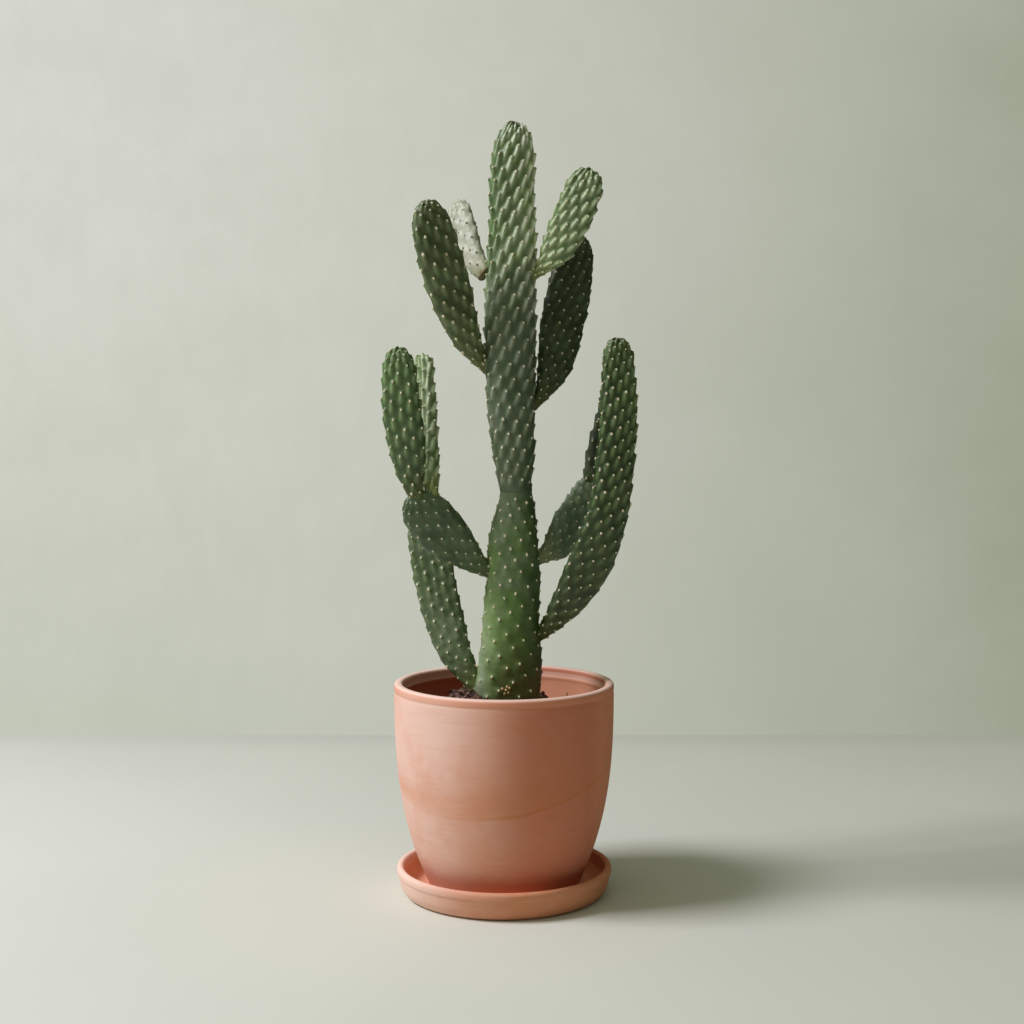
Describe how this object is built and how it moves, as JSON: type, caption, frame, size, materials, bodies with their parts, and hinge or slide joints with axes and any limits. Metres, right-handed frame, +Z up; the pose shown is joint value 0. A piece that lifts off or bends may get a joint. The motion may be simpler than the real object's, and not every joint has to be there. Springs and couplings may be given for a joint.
{
  "type": "potted paddle cactus",
  "caption": "Tall paddle cactus with a flattened knobbly trunk and upswept pads, planted in a round clay pot that stands in its saucer.",
  "frame": {"origin": "centre of the saucer's flat underside, on the surface the plant stands on", "axes": "+Z up along the pot's axis, -Y towards the viewer, +X to the viewer's right"},
  "size_m": [0.2289, 0.2, 0.697],
  "materials": {
    "saucer_clay": "unglazed fired clay, matt",
    "pot_clay": "unglazed fired clay, matt, faintly banded",
    "potting_mix": "loose dark crumbs with bark and grit",
    "trunk_skin": "waxy green skin with a grey bloom",
    "pad_skin": "waxy green skin, satin"
  },
  "bodies": {
    "root": {"saucer": "saucer_clay", "pot": "pot_clay", "soil": "potting_mix", "trunk_lower": "trunk_skin", "trunk_upper": "trunk_skin", "pad_lower_left": "pad_skin", "pad_mid_left": "pad_skin", "pad_left_front": "pad_skin", "pad_left_rear": "pad_skin", "pad_upper_left": "pad_skin", "pad_upper_left_rear": "pad_skin", "pad_upper_right": "pad_skin", "pad_upper_right_rear": "pad_skin", "pad_mid_right": "pad_skin", "pad_mid_right_tip": "pad_skin", "pad_right": "pad_skin"}
  },
  "joints": []
}
